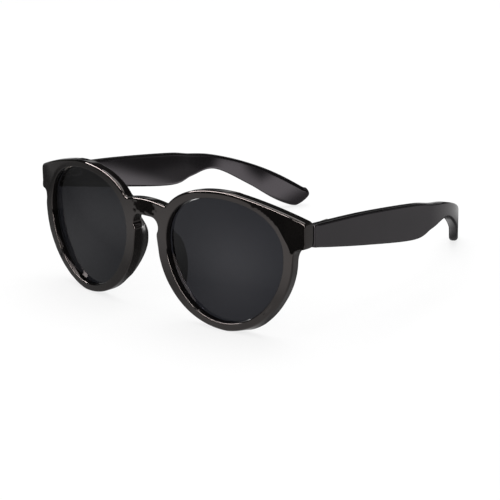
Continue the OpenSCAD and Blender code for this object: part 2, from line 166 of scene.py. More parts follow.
def plateMesh(name, outline, holes, size, mapper, backPath=None):
    # size: step, pitch, thick, arc steps, and the edge radii front, back, holeFront and holeBack
    step, thick, arc = size["step"], size["thick"], size["arc"]
    bows = [math.pi / 2 * j / arc for j in range(arc + 1)]
    points, faces, count = [], [], 0
    frontRim, backRim = ([], []), ([], [])  # the loops round each flat, and the numbers of their points
    for k, loop in enumerate([outline] + holes):
        n = len(loop)
        rf = np.broadcast_to(size["holeFront" if k else "front"], n).astype(float)
        rb = np.broadcast_to(size["holeBack" if k else "back"], n).astype(float)
        rings = [(inset(loop, step, rf + plate["hold"]), np.zeros(n))]
        rings += [(inset(loop, step, rf * (1 - math.sin(f))), rf * (1 - math.cos(f))) for f in bows]
        rings += [(loop, rf + (thick - rb - rf) * j / 3) for j in (1, 2)]
        if k == 0 and backPath:
            rings += backPath(loop, step, rb)
        else:
            rings += [(inset(loop, step, rb * (1 - math.cos(f))), thick - rb + rb * math.sin(f))
                      for f in bows]
            rings.append((inset(loop, step, rb + plate["hold"]), np.full(n, thick)))
        for ring, (xy, depth) in enumerate(rings):
            points.append(np.column_stack([xy, np.broadcast_to(depth, n)]))
            if ring:
                a, b = count + (ring - 1) * n, count + ring * n
                faces += [(a + i, a + (i + 1) % n, b + (i + 1) % n, b + i) for i in range(n)]
        for (loops, ids), ring in ((frontRim, 0), (backRim, len(rings) - 1)):
            loops.append(rings[ring][0])
            ids.append(count + ring * n + np.arange(n))
        count += len(rings) * n
    for (loops, ids), depth in ((frontRim, 0.0), (backRim, thick)):
        fill, tris = fillBetween(loops, size["pitch"])
        rim = np.concatenate(ids)
        inner = fill[len(rim):]
        points.append(np.column_stack([inner, np.full(len(inner), depth)]))
        table = np.concatenate([rim, count + np.arange(len(inner))])
        count += len(inner)
        faces += [tuple(table[i] for i in t) for t in tris]
    flat = np.vstack(points)
    spots = place(mapper(flat[:, 0], flat[:, 1], flat[:, 2]))
    mesh = bpy.data.meshes.new(name)
    mesh.from_pydata(spots.tolist(), [], [list(map(int, f)) for f in faces])
    return finished(name, mesh)


def finished(name, mesh, angle=50):  # merged, facing outwards, smooth up to an angle in degrees
    bm = bmesh.new()
    bm.from_mesh(mesh)
    bmesh.ops.remove_doubles(bm, verts=bm.verts, dist=2e-7)
    bmesh.ops.recalc_face_normals(bm, faces=bm.faces)
    gaps = sum(1 for e in bm.edges if not e.is_manifold)
    bm.to_mesh(mesh)
    bm.free()
    mesh.shade_smooth()
    mesh.set_sharp_from_angle(angle=math.radians(angle))
    mesh.update()
    piece = bpy.data.objects.new(name, mesh)
    bpy.context.scene.collection.objects.link(piece)
    print(name, "faces", len(mesh.polygons), "open edges", gaps)
    return piece


# The front: face-form curve, lens openings, rim widths, bridge, keyhole and end pieces
front = dict(wrap=250, thick=4.4, openX=36.4, halfW=24.6, halfH=24, shoulder=3.1, flat=0.9, lift=0.8,
             square=0.4, rimLow=2.9, rimNose=4.7, rimEar=4.2, rimSkew=0.8, bridgeTop=18.5, bridgeR=46,
             roof=12.1, lobeR=3.5, lobeX=3.1, lobeFrom=-42, notchShare=0.74, notchDrop=3, notchClear=6.2,
             browFrom=78, browDrop=0.1, browRise=0.75, endOut=4, endTop=19.3, endH=9.5, fillet=2.7, tuck=0.1,
             step=0.42, soft=0.55, pitch=0.75, arc=8, holeFront=0.5, holeBack=0.6)


def openingPoint(a):
    a = np.radians(a)
    f = front
    across = f["openX"] + f["halfW"] * np.cos(a) + f["shoulder"] * np.sin(2 * a) + f["square"] * np.cos(3 * a)
    upward = f["halfH"] * np.sin(a) - f["lift"] * np.cos(2 * a) + f["flat"] * np.sin(3 * a)
    return np.stack([across, upward], -1)


def openingNormal(a):
    d = openingPoint(a + 0.5) - openingPoint(a - 0.5)
    d = d / np.linalg.norm(d, axis=-1, keepdims=True)
    return np.stack([d[..., 1], -d[..., 0]], -1)


def rimWidth(a):
    c, s = np.cos(np.radians(a)), np.sin(np.radians(a))
    f = front
    return f["rimLow"] + c ** 2 * (np.where(c < 0, f["rimNose"], f["rimEar"]) - f["rimLow"]) + \
        np.where(s < 0, f["rimSkew"] * s ** 2 * c, 0)


def rimPoint(a):
    return openingPoint(a) + rimWidth(a)[..., None] * openingNormal(a)


def wrapY(x, r):
    return front["wrap"] - np.sqrt(r * r - x * x)


rimSide = rimPoint(np.arange(0, 360, 0.25))[:, 0].max()
endHalfW = rimSide + front["endOut"]
backR = front["wrap"] - front["thick"]


def arcPoints(centre, radius, degrees):
    a = np.radians(degrees)
    return np.array(centre) + radius * np.stack([np.cos(a), np.sin(a)], 1)


def halfOutline():  # from the bridge's top round one rim to the roof of the keyhole
    f = front
    hub = np.array([0, f["bridgeTop"] - f["bridgeR"]])
    bridge = arcPoints(hub, f["bridgeR"], np.arange(90, 60, -0.25))
    top = rimPoint(np.arange(150, f["browFrom"], -0.5))
    above = top[:, 1] > hub[1] + np.sqrt(np.maximum(f["bridgeR"] ** 2 - top[:, 0] ** 2, 0))
    j = int(np.argmax(above))
    i = int(np.linalg.norm(bridge - top[j], axis=1).argmin())
    brow = rimPoint(np.array([float(f["browFrom"])]))[0] - [0, f["browDrop"]]
    end = np.array([endHalfW, f["endTop"]])
    mid = (brow + end) / 2 + [0, f["browRise"]]
    t = np.linspace(0, 1, 30)[:, None]
    browLine = (1 - t) ** 2 * brow + 2 * t * (1 - t) * (2 * mid - (brow + end) / 2) + t ** 2 * end
    low = f["endTop"] - f["endH"]
    under = [rimSide + f["fillet"] - f["tuck"], low - f["fillet"]]
    fillet = arcPoints(under, f["fillet"], np.arange(90, 181, 6))
    lobeZ = f["roof"] - f["lobeR"]
    notch = np.array([f["lobeX"] + f["notchShare"] * f["lobeR"], lobeZ - f["notchDrop"]])
    ring = rimPoint(np.arange(20, -180, -0.5))
    ring = ring[(ring[:, 1] < fillet[-1, 1] - 0.2) | (ring[:, 0] < 50)]  # from below the fillet
    ring = ring[(ring[:, 0] > 20) | (ring[:, 1] < notch[1] - f["notchClear"])]  # to below the notch
    lobe = arcPoints([f["lobeX"], lobeZ], f["lobeR"], np.arange(f["lobeFrom"], 91, 4))
    return np.vstack([bridge[:i], top[j:], browLine, [[endHalfW, low]], fillet, ring, notch[None], lobe])


half = halfOutline()
whole = np.vstack([half, (half * [-1, 1])[::-1]])[::-1]
frontStep = front["step"]
frontLoop = softened(evenLoop(whole, frontStep), frontStep, front["soft"])
leftOpening = evenLoop(openingPoint(np.arange(360, 0, -0.1)), frontStep)
rightOpening = (leftOpening * [-1, 1])[::-1]
openingA = np.arange(-180, 180, 0.5)
openingDense = openingPoint(openingA)


def eased(value, low, high):
    t = np.clip((value - low) / (high - low), 0, 1)
    return t * t * (3 - 2 * t)


def fromOpening(q):  # distance to the opening's edge, direction away from it, and angle round it
    dist, nearest, chunk = np.empty(len(q)), np.empty(len(q), int), 8000
    for k in range(0, len(q), chunk):
        gap = np.hypot(*(q[k:k + chunk, None] - openingDense[None]).transpose(2, 0, 1))
        nearest[k:k + chunk] = gap.argmin(1)
        dist[k:k + chunk] = gap.min(1)
    return dist, (q - openingDense[nearest]) / np.maximum(dist, 1e-6)[:, None], openingA[nearest]


# The ear sides, by degrees round the opening: how far the edge of the face and of the back moves out,
# and how far the face comes forward
ear = dict(angles=[-84, -74, -60, -46, -33, -20, -8, 12, 24],
           face=[0, -0.35, -0.8, -1.0, -1.0, -0.7, -0.3, -0.1, 0],
           back=[0, 0.2, 0.4, 0.35, -0.2, -0.7, -0.85, -0.85, 0],
           forward=[0, 0, 0.1, 0.35, 0.7, 0.9, 1.0, 1.0, 0],
           beyondX=30, push=(0.9, 2.6), lift=(0.3, 4.2), liftAtLens=0.4)


def frontPlace(x, z, depth):  # onto the face-form curve, with the ear sides' own shape
    dist, away, a = fromOpening(np.stack([np.abs(x), z], 1))
    t = depth / front["thick"]
    face, rear, forward = (np.interp(a, ear["angles"], ear[key]) for key in ("face", "back", "forward"))
    push = eased(dist, *ear["push"]) * (np.abs(x) > ear["beyondX"]) * (face * (1 - t) + rear * t)
    x, z = x + np.sign(x) * away[:, 0] * push, z + away[:, 1] * push
    lift = ear["liftAtLens"] + (1 - ear["liftAtLens"]) * eased(dist, *ear["lift"])
    forward = forward * (np.abs(x) > ear["beyondX"]) * lift * (1 - t)
    return np.stack([x, wrapY(x, front["wrap"] - depth) - forward, z], 1)


def unplace(p):  # metres on the floor back to millimetres on the upright front
    a = math.radians(stance["lean"])
    y, z = p[:, 1] * 1000 - stance["back"], p[:, 2] * 1000 - stance["up"]
    return np.stack([p[:, 0] * 1000, y * math.cos(a) - z * math.sin(a), z * math.cos(a) + y * math.sin(a)], 1)


# The polished face's normals: above the end pieces they roll away beyond a flat ring round each lens,
# and on the bridge they dip inside a ragged edge
shade = dict(facing=(0.88, 0.96), ring=2.5, ringTaper=0.9, taperZ=(7, 14), fade=0.6, endZ=(5, 9.5),
             endX=(24, 34), endRoll=0.19, sideways=0.25, awayShare=0.6, upShare=0.55,
             bridgeX=5.4, bridgeFade=1.2, bridgeZ=(13, 13.9), bridgeRoll=0.22, raggedShare=0.5,
             ragged=((1.1, 1.3, 2.1), (0.5, -1.9, 3.1)))  # size, and radians per mm across and up


def rollFace(piece):
    mesh, s = piece.data, shade
    n = np.array([v.normal for v in mesh.vertices])
    p = unplace(np.array([v.co for v in mesh.vertices]))
    out, high = np.abs(p[:, 0]), p[:, 2]
    dist, away, a = fromOpening(np.stack([out, high], 1))
    lean, slope = math.radians(stance["lean"]), p[:, 0] / front["wrap"]
    flat = np.sqrt(1 - slope ** 2)
    plain = np.stack([slope, -flat * math.cos(lean), flat * math.sin(lean)], 1)
    facing = eased((n * plain).sum(1), *s["facing"])
    n += (plain - n) * facing[:, None]
    ring = s["ring"] - s["ringTaper"] * eased(high, *s["taperZ"])
    roll = facing * eased(dist - ring, 0, s["fade"]) * eased(high, *s["endZ"]) * eased(out, *s["endX"])
    n[:, 0] += np.sign(p[:, 0]) * away[:, 0] * roll * s["endRoll"] * s["sideways"]
    n[:, 2] += (away[:, 1] * s["awayShare"] + s["upShare"]) * roll * s["endRoll"]
    ragged = sum(size * np.sin(across * p[:, 0] + upward * high) for size, across, upward in s["ragged"])
    dip = facing * eased(s["bridgeX"] + ragged - out, 0, s["bridgeFade"])
    dip = dip * eased(high + s["raggedShare"] * ragged, *s["bridgeZ"])
    n[:, 2] += dip * s["bridgeRoll"]
    n /= np.linalg.norm(n, axis=1)[:, None]
    mesh.normals_split_custom_set_from_vertices([tuple(v) for v in n])


# The nose pads: a round-topped ridge that leans in from the rim's nose side
pad = dict(r=16.5, depth=6.4, z=-3.2, ridge=1.2, lean=25, minX=5, reach=1.2, low=-18, high=11.4, full=1.6,
           soft=0.8, ledgeSoft=0.6, turnSoft=1.5, rimSpare=1.15, rimShare=2.05, foot=0.35, seam=0.05)
finA = np.arange(100, 262, 2.0)  # round the nose side of the rim
finLine = rimPoint(finA)
finWidth = rimWidth(finA)
order = np.argsort(finLine[:, 1])


def padPath(loop, step, rb):  # plain rounding, growing into a nose pad along the nose sides
    x, z, t = np.abs(loop[:, 0]), loop[:, 1], front["thick"]
    high = np.sqrt(np.maximum(pad["r"] ** 2 - (z - pad["z"]) ** 2, 0)) - (pad["r"] - pad["depth"])
    noseX = np.interp(z, finLine[order, 1], finLine[order, 0])
    onSide = (x < noseX + pad["reach"]) & (x > pad["minX"]) & (z > pad["low"]) & (z < pad["high"])
    high, ledge = (np.maximum(softened(np.where(onSide, np.maximum(rise, 0), 0), step, soft), 0)
                   for rise, soft in ((high, pad["soft"]), (noseX - x, pad["ledgeSoft"])))
    width = np.interp(z, finLine[order, 1], finWidth[order])
    r = np.minimum(pad["ridge"], (width - pad["rimSpare"]) / pad["rimShare"])
    w = np.minimum(high / pad["full"], 1)
    tall = np.maximum(high, pad["full"])
    n = softened(loopNormals(loop), step, pad["turnSoft"])
    n /= np.hypot(n[:, 0], n[:, 1])[:, None]
    g = math.tan(math.radians(pad["lean"]))
    level = np.full(len(loop), t)
    path = [(ledge * 0, level - pad["foot"]), (ledge, level - pad["seam"])]
    path += [(ledge + g * (tall - r) * s, t + (tall - r) * s) for s in (0.33, 0.67)]
    path += [(ledge + g * (tall - r) + r - r * np.cos(f), t + tall - r + r * np.sin(f))
             for f in np.radians(np.arange(0, 181, 18))]
    path += [(ledge + 2 * r + g * (tall - r) * s, t + (tall - r) * s) for s in (0.67, 0.33, 0.08)]
    path.append((ledge + 2 * r + pad["foot"], level))
    rings, last = [], len(path) - 1
    for k, (d, depth) in enumerate(path):
        f = math.pi / 2 * k / (last - 1)
        plainD, plainDepth = rb * (1 - math.cos(f)), t - rb + rb * math.sin(f)
        if k == last:
            plainD, plainDepth = rb + plate["hold"], level
        plain = inset(loop, step, plainD)
        fin = loop - n * d[:, None]
        rings.append((plain * (1 - w)[:, None] + fin * w[:, None], plainDepth * (1 - w) + depth * w))
    return rings


# Edge radii of the front: more on top, less beside the nose and on the ends, most behind the ear sides
edge = dict(front=0.68, up=0.45, nose=0.15, end=0.35, least=0.35, most=1.15,
            back=0.85, backEar=0.95, backNose=0.4, backEnd=0.45, backMost=1.9,
            endLow=7, endHigh=18.6, endFrom=62, endOver=4, noseWithin=12, noseBelow=12.5, earBeyond=50,
            earBelow=7, upSoft=1.2, endSoft=0.8, noseSoft=1.5, earSoft=3)


def frontEdges():
    e, outer, z = edge, np.abs(frontLoop[:, 0]), frontLoop[:, 1]
    up = softened(np.clip(loopNormals(frontLoop)[:, 1], 0, 1), frontStep, e["upSoft"])
    end = np.clip((outer - e["endFrom"]) / e["endOver"], 0, 1)
    end = softened(np.where((z > e["endLow"]) & (z < e["endHigh"]), end, 0), frontStep, e["endSoft"])
    nose = (outer < e["noseWithin"]) & (z < e["noseBelow"])
    nose = softened(nose.astype(float), frontStep, e["noseSoft"])
    ears = (outer > e["earBeyond"]) & (z < e["earBelow"])
    ears = softened(ears.astype(float), frontStep, e["earSoft"])
    before = e["front"] + e["up"] * up - e["nose"] * nose - e["end"] * end
    behind = e["back"] + e["backEar"] * ears - e["backNose"] * nose - e["backEnd"] * end
    return np.clip(before, e["least"], e["most"]), np.clip(behind, e["least"], e["backMost"])


frontEdge, backEdge = frontEdges()
frontSize = dict(front, front=frontEdge, back=backEdge)
frontPiece = plateMesh("keyholeFront", frontLoop, [leftOpening, rightOpening], frontSize, frontPlace, padPath)
rollFace(frontPiece)
print("front made")

# The temples: length along the outer face, bend in plan, heights of the side view, edge radii
temple = dict(length=132.2, thick=3.7, toeIn=2.7, bend=33, bendAt=71, bendL=39, step=1.3, proud=0.3, gap=0.3,
              rootH=8.2, bellyH=14, neckH=6.2, endH=12, endAt=120, endDrop=22.3, topFall=0.625, lowFall=0.3,
              tip=[(-1.4, 2.6), (0, 0), (-1.2, -2), (-4.4, -4.4), (-9, -6), (-16, -7.2)], fitL=8,
              edge=0.85, tipEdge=0.55, tipFrom=104, tipTo=124, buttEdge=0.75, spacing=0.55, soft=0.4,
              pitch=0.9, arc=6, least=0.3, most=1.5, buttTo=1.2, buttSoft=0.7, beyond=22, tipDrop=0.8,
              topShort=2.2, lowShort=0.5)
top0 = front["endTop"] - temple["step"]
buttX = endHalfW + temple["proud"]
buttY = wrapY(buttX - temple["thick"] / 2, backR) + temple["gap"]


def spline(points, steps):
    p = np.asarray(points, float)
    out = []
    for i in range(len(p) - 1):
        a, b, c, d = p[max(i - 1, 0)], p[i], p[i + 1], p[min(i + 2, len(p) - 1)]
        for k in range(steps):
            s = k / steps
            out.append(0.5 * (2 * b + (c - a) * s + (2 * a - 5 * b + 4 * c - d) * s * s
                              + (3 * b - a - 3 * c + d) * s ** 3))
    return np.array(out + [p[-1]])


def planAngle(t):
    bent = np.clip((t - temple["bendAt"]) / temple["bendL"], 0, 1)
    return np.radians(temple["toeIn"] + temple["bend"] * bent)


def templePlan(t, s):  # station along the outer face, distance in from it
    k = temple
    a0, a1 = math.radians(k["toeIn"]), math.radians(k["toeIn"] + k["bend"])
    r = k["bendL"] / math.radians(k["bend"])
    straight = np.minimum(t, k["bendAt"])
    a = planAngle(t)
    rest = np.maximum(t - k["bendAt"] - k["bendL"], 0)
    x = buttX - straight * math.sin(a0) + r * (np.cos(a) - math.cos(a0)) - rest * math.sin(a1)
    y = buttY + straight * math.cos(a0) + r * (np.sin(a) - math.sin(a0)) + rest * math.cos(a1)
    return x - s * np.cos(a), y - s * np.sin(a)


def buttShift(s):  # station at which the temple's front end meets the curve of the front's back
    t = np.linspace(-3, 3, 121)
    x, y = templePlan(t, s)
    return t[np.abs(np.hypot(x, y - front["wrap"]) - (backR - temple["gap"])).argmin()]


shiftOut, shiftIn = buttShift(0.0), buttShift(temple["thick"])


def templeOutline():
    k = temple
    # station, drop of the top line, height there
    ribs = [(0, 0, k["rootH"]), (30, 1.9, (k["rootH"] + k["bellyH"]) / 2 + 1.1), (62, 5.3, k["bellyH"]),
            (74, 7.5, (k["bellyH"] + k["neckH"]) / 2 - 0.2), (87, 9.8, k["neckH"]),
            (104, 15.1, (k["neckH"] + k["endH"]) / 2 + 0.5), (k["endAt"], k["endDrop"], k["endH"])]
    endTop, beyond = top0 - k["endDrop"], k["beyond"]
    topLine = [(t, top0 - d) for t, d, h in ribs] + [(k["endAt"] + beyond, endTop - k["topFall"] * beyond)]
    lowLine = [(t, top0 - d - h) for t, d, h in ribs]
    lowLine.append((k["endAt"] + beyond, endTop - k["endH"] - k["lowFall"] * beyond))
    topCurve, lowCurve = spline(topLine, 12), spline(lowLine, 12)
    noseZ = endTop - k["topFall"] * (k["length"] - k["endAt"]) - k["tipDrop"]
    tip = spline([(k["length"] + t, noseZ + z) for t, z in k["tip"]], 8)
    topCurve = topCurve[topCurve[:, 0] < k["length"] - k["topShort"]]
    lowAt = np.interp(tip[:, 0], lowCurve[:, 0], lowCurve[:, 1])
    tip = tip[(tip[:, 1] > lowAt) | (np.arange(len(tip)) < 16)]
    lowCurve = lowCurve[lowCurve[:, 0] < tip[-1, 0] - k["lowShort"]]
    return np.vstack([topCurve, tip, lowCurve[::-1]])[::-1]


templeStep = temple["spacing"]
templeLoop = softened(evenLoop(templeOutline(), templeStep), templeStep, temple["soft"])


def makeTemple(name, side):
    k = temple

    def templePlace(t, z, s):
        shift = shiftOut + (shiftIn - shiftOut) * s / k["thick"]
        x, y = templePlan(t + shift * np.clip(1 - t / k["fitL"], 0, 1), s)
        return np.stack([x * side, y, z], 1)
    atButt = softened((templeLoop[:, 0] < k["buttTo"]).astype(float), templeStep, k["buttSoft"])
    atTip = eased(templeLoop[:, 0], k["tipFrom"], k["tipTo"])
    radius = np.clip(k["edge"] + k["tipEdge"] * atTip - k["buttEdge"] * atButt, k["least"], k["most"])
    size = dict(k, step=templeStep, front=radius, back=radius)
    return plateMesh(name, templeLoop, [], size, templePlace)


sides = (("Left", 1), ("Right", -1))
temples = {w: makeTemple("templeArm" + w, s) for w, s in sides}
print("temples made")


# Node trees. The tools: add makes a node, feed links its sockets or sets their values, calc, plus, less and
# times are math nodes, span maps a range, rise and fall do so softly, and ramp turns a value into a colour
def toolsFor(tree):
    def feed(node, inputs):
        for label, value in inputs.items():
            if isinstance(value, bpy.types.NodeSocket):
                tree.links.new(value, node.inputs[label])
            else:
                node.inputs[label].default_value = value

    def add(kind, inputs=None, **options):
        node = tree.nodes.new(kind)
        for key, value in options.items():
            setattr(node, key, value)
        feed(node, inputs or {})
        return node

    def calc(operation, *values):
        return add("ShaderNodeMath", dict(enumerate(values)), operation=operation).outputs[0]

    def plus(a, b):
        return calc("ADD", a, b)

    def less(a, b):
        return calc("SUBTRACT", a, b)

    def times(a, b):
        return calc("MULTIPLY", a, b)

    def span(source, low, high, first, last, kind="LINEAR"):
        limits = {"Value": source, "From Min": low, "From Max": high, "To Min": first, "To Max": last}
        return add("ShaderNodeMapRange", limits, interpolation_type=kind).outputs["Result"]

    def rise(source, low, high, top=1.0):
        return span(source, low, high, 0.0, top, "SMOOTHSTEP")

    def fall(source, low, high):
        return less(1.0, rise(source, low, high))

    def ramp(source, first, last, start=0.0, stop=1.0, kind="LINEAR"):
        node = add("ShaderNodeValToRGB", {0: source})
        node.color_ramp.interpolation = kind
        for k, (colour, at) in enumerate(((first, start), (last, stop))):
            node.color_ramp.elements[k].position = at
            node.color_ramp.elements[k].color = (*colour, 1)
        return node.outputs[0]
    return SimpleNamespace(feed=feed, add=add, calc=calc, plus=plus, less=less, times=times, span=span,
                           rise=rise, fall=fall, ramp=ramp)


def newTree(name, inputs):
    tree = bpy.data.node_groups.new(name, "GeometryNodeTree")
    tree.interface.new_socket("Geometry", in_out="INPUT", socket_type="NodeSocketGeometry")
    for label, value in inputs.items():
        kind = "NodeSocketInt" if isinstance(value, int) else "NodeSocketFloat"
        kind = "NodeSocketMaterial" if value is None else kind
        socket = tree.interface.new_socket(label, in_out="INPUT", socket_type=kind)
        if value is not None:
            socket.default_value = value
    tree.interface.new_socket("Geometry", in_out="OUTPUT", socket_type="NodeSocketGeometry")
    given = tree.nodes.new("NodeGroupInput").outputs
    return tree, toolsFor(tree), given, tree.nodes.new("NodeGroupOutput")


def closeTree(n, shape, given, end):  # real geometry, with the piece's material
    plain = n.add("GeometryNodeRealizeInstances", {0: shape})
    finish = n.add("GeometryNodeSetMaterial", {"Geometry": plain.outputs[0], "Material": given["Material"]})
    n.feed(end, {0: finish.outputs[0]})


def held(name, mesh):
    holder = bpy.data.objects.new(name + "Base", mesh)
    bpy.context.scene.collection.objects.link(holder)
    return holder


def plainMesh(holder):  # what its modifiers make, as a plain mesh
    bpy.context.view_layer.update()
    graph = bpy.context.evaluated_depsgraph_get()
    result = bpy.data.meshes.new_from_object(holder.evaluated_get(graph), depsgraph=graph)
    holder.modifiers.clear()
    bpy.data.objects.remove(holder)
    return result


def madeByNodes(name, mesh, tree, values, material):
    holder = held(name, mesh)
    modifier = holder.modifiers.new("build", "NODES")
    modifier.node_group = tree
    for item in tree.interface.items_tree:
        if item.item_type == "SOCKET" and item.in_out == "INPUT":
            if item.name in values:
                modifier[item.identifier] = values[item.name]
            elif item.name == "Material":
                modifier[item.identifier] = material
    return finished(name, plainMesh(holder), 40)


# Materials
def shaderGroup(name, inputs, outputs):
    group = bpy.data.node_groups.new(name, "ShaderNodeTree")
    for label, value in inputs.items():
        group.interface.new_socket(label, in_out="INPUT", socket_type="NodeSocketFloat").default_value = value
    for label in outputs:
        group.interface.new_socket(label, in_out="OUTPUT", socket_type="NodeSocketFloat")
    n, given = toolsFor(group), group.nodes.new("NodeGroupInput").outputs
    return group, n, given, group.nodes.new("NodeGroupOutput"), n.add("ShaderNodeTexCoord").outputs["Object"]


def polishGroup():  # fine hand polish: faint cloudy marks and hair lines
    inputs = {"Cloud Scale": 90, "Hair Scale": 900, "Amount": 0.5}
    group, n, given, end, where = shaderGroup("handPolish", inputs, ["Marks", "Height"])
    cloud = n.add("ShaderNodeTexNoise", {"Detail": 3, "Vector": where, "Scale": given["Cloud Scale"]})
    drawn = n.add("ShaderNodeMapping", {"Scale": (0.12, 1, 1), "Rotation": (0.3, 0.5, 0.2), "Vector": where})
    drawn = drawn.outputs[0]
    hair = n.add("ShaderNodeTexNoise", {"Detail": 2, "Vector": drawn, "Scale": given["Hair Scale"]})
    lines = n.calc("POWER", hair.outputs[0], 5.0)
    mixed = n.plus(n.times(cloud.outputs[0], 0.6), n.times(lines, 2.0))
    n.feed(end, {"Marks": n.times(mixed, given["Amount"]), "Height": n.times(lines, given["Amount"])})
    return group


def wavesGroup():  # slow waviness of a polished face, which makes its reflections wander
    group, n, given, end, where = shaderGroup("slowWaves", {"Scale": 60, "Amount": 1}, ["Height"])
    noise = n.add("ShaderNodeTexNoise", {"Detail": 1, "Vector": where, "Scale": given["Scale"]})
    n.feed(end, {"Height": n.times(noise.outputs[0], given["Amount"])})
    return group


polish = polishGroup()
waves = wavesGroup()


def principled(name):
    material = bpy.data.materials.new(name)
    material.use_nodes = True
    return material, toolsFor(material.node_tree), material.node_tree.nodes["Principled BSDF"]


def surface(name, look):
    material, n, shader = principled(name)
    where = n.add("ShaderNodeTexCoord").outputs["Object"]
    tone = n.add("ShaderNodeTexNoise", {"Scale": look["toneScale"], "Detail": 4, "Vector": where})
    scales = {"Cloud Scale": look["cloud"], "Hair Scale": look["hair"], "Amount": look["marks"]}
    marks = n.add("ShaderNodeGroup", scales, node_tree=polish).outputs
    scales = {"Scale": look["waveScale"], "Amount": look["wave"]}
    slow = n.add("ShaderNodeGroup", scales, node_tree=waves).outputs
    height = n.plus(n.times(marks["Height"], look["hairHeight"]), slow["Height"])
    bump = n.add("ShaderNodeBump", {"Strength": 1, "Distance": 0.0001, "Height": height})
    n.feed(shader, {
        "Base Color": n.ramp(tone.outputs[0], look["dark"], look["light"], 0.35, 0.68),
        "Roughness": n.plus(n.times(marks["Marks"], look["roughVary"]), look["rough"]),
        "Normal": bump.outputs[0], "Metallic": look["metal"], "IOR": look["ior"],
        "Specular Tint": (*look["gloss"], 1)})
    return material


frontLook = dict(dark=(0.003, 0.0028, 0.0028), light=(0.006, 0.0053, 0.005), toneScale=45, cloud=120,
                 hair=1400, marks=0.6, rough=0.045, roughVary=0.008, waveScale=70, wave=0.12, hairHeight=0.0,
                 metal=0, ior=1.49, gloss=(1, 0.9, 0.87))
templeLook = dict(frontLook, dark=(0.0033, 0.003, 0.0033), light=(0.006, 0.0055, 0.006), rough=0.1,
                  waveScale=55, gloss=(1, 0.91, 0.98))
hingeLook = dict(dark=(0.42, 0.38, 0.34), light=(0.6, 0.55, 0.5), toneScale=900, cloud=700, hair=3000,
                 marks=1, rough=0.16, roughVary=0.2, waveScale=500, wave=0.02, hairHeight=0.05,
                 metal=1, ior=1.5, gloss=(1, 1, 1))
screwLook = dict(hingeLook, dark=(0.5, 0.42, 0.36), light=(0.68, 0.6, 0.54), rough=0.12)
wireLook = dict(hingeLook, dark=(0.5, 0.5, 0.52), light=(0.65, 0.65, 0.68), rough=0.25)
frontPlastic = surface("polishedFrontPlastic", frontLook)
templePlastic = surface("polishedTemplePlastic", templeLook)
hingeMetal = surface("nickelHinge", hingeLook)
screwSteel = surface("screwSteel", screwLook)
wireSteel = surface("drawnCoreWire", wireLook)

# The lens tint: lightest in the middle, deeper at a slant, in metres and shares of the base colour
tint = dict(middle=(0.0325, 0.0325, 0.0370), rim=(0.0160, 0.0165, 0.0200), centreX=0.038, centreZ=0.026,
            halfX=0.027, halfZ=0.026, cloud=14, cloudShare=0.12, slant=(0.17, 0.44), slantShare=0.3,
            gloss=(0.18, 0.18, 0.19), rough=0.01, roughVary=0.02, ior=1.5)


def lensGlass():
    material, n, shader = principled("tintedLens")
    plus, less, times = n.plus, n.less, n.times
    where = n.add("ShaderNodeTexCoord").outputs["Object"]
    tone = n.add("ShaderNodeTexNoise", {"Scale": tint["cloud"], "Detail": 1, "Vector": where})
    x, y, z = n.add("ShaderNodeSeparateXYZ", {0: where}).outputs
    across = times(less(n.calc("ABSOLUTE", x), tint["centreX"]), 1 / tint["halfX"])
    upward = times(less(z, tint["centreZ"]), 1 / tint["halfZ"])
    far = n.calc("SQRT", plus(times(across, across), times(upward, upward)))
    far = plus(far, times(less(tone.outputs[0], 0.5), tint["cloudShare"]))
    colour = n.ramp(far, tint["middle"], tint["rim"], kind="EASE")
    depth = n.span(n.add("ShaderNodeLayerWeight").outputs["Facing"], *tint["slant"], 1.0, tint["slantShare"])
    tinted = n.add("ShaderNodeVectorMath", {0: colour, "Scale": depth}, operation="SCALE")
    marks = n.add("ShaderNodeGroup", {"Cloud Scale": 60, "Hair Scale": 500, "Amount": 0.3}, node_tree=polish)
    n.feed(shader, {
        "Base Color": tinted.outputs[0],
        "Roughness": plus(times(marks.outputs["Marks"], tint["roughVary"]), tint["rough"]),
        "Transmission Weight": 1, "IOR": tint["ior"], "Specular Tint": (*tint["gloss"], 1)})
    return material


lensTint = lensGlass()
print("materials made")

# The lenses
lens = dict(thick=1.4, depth=2.4, reach=0.5, crown=4000, around=180, across=30)


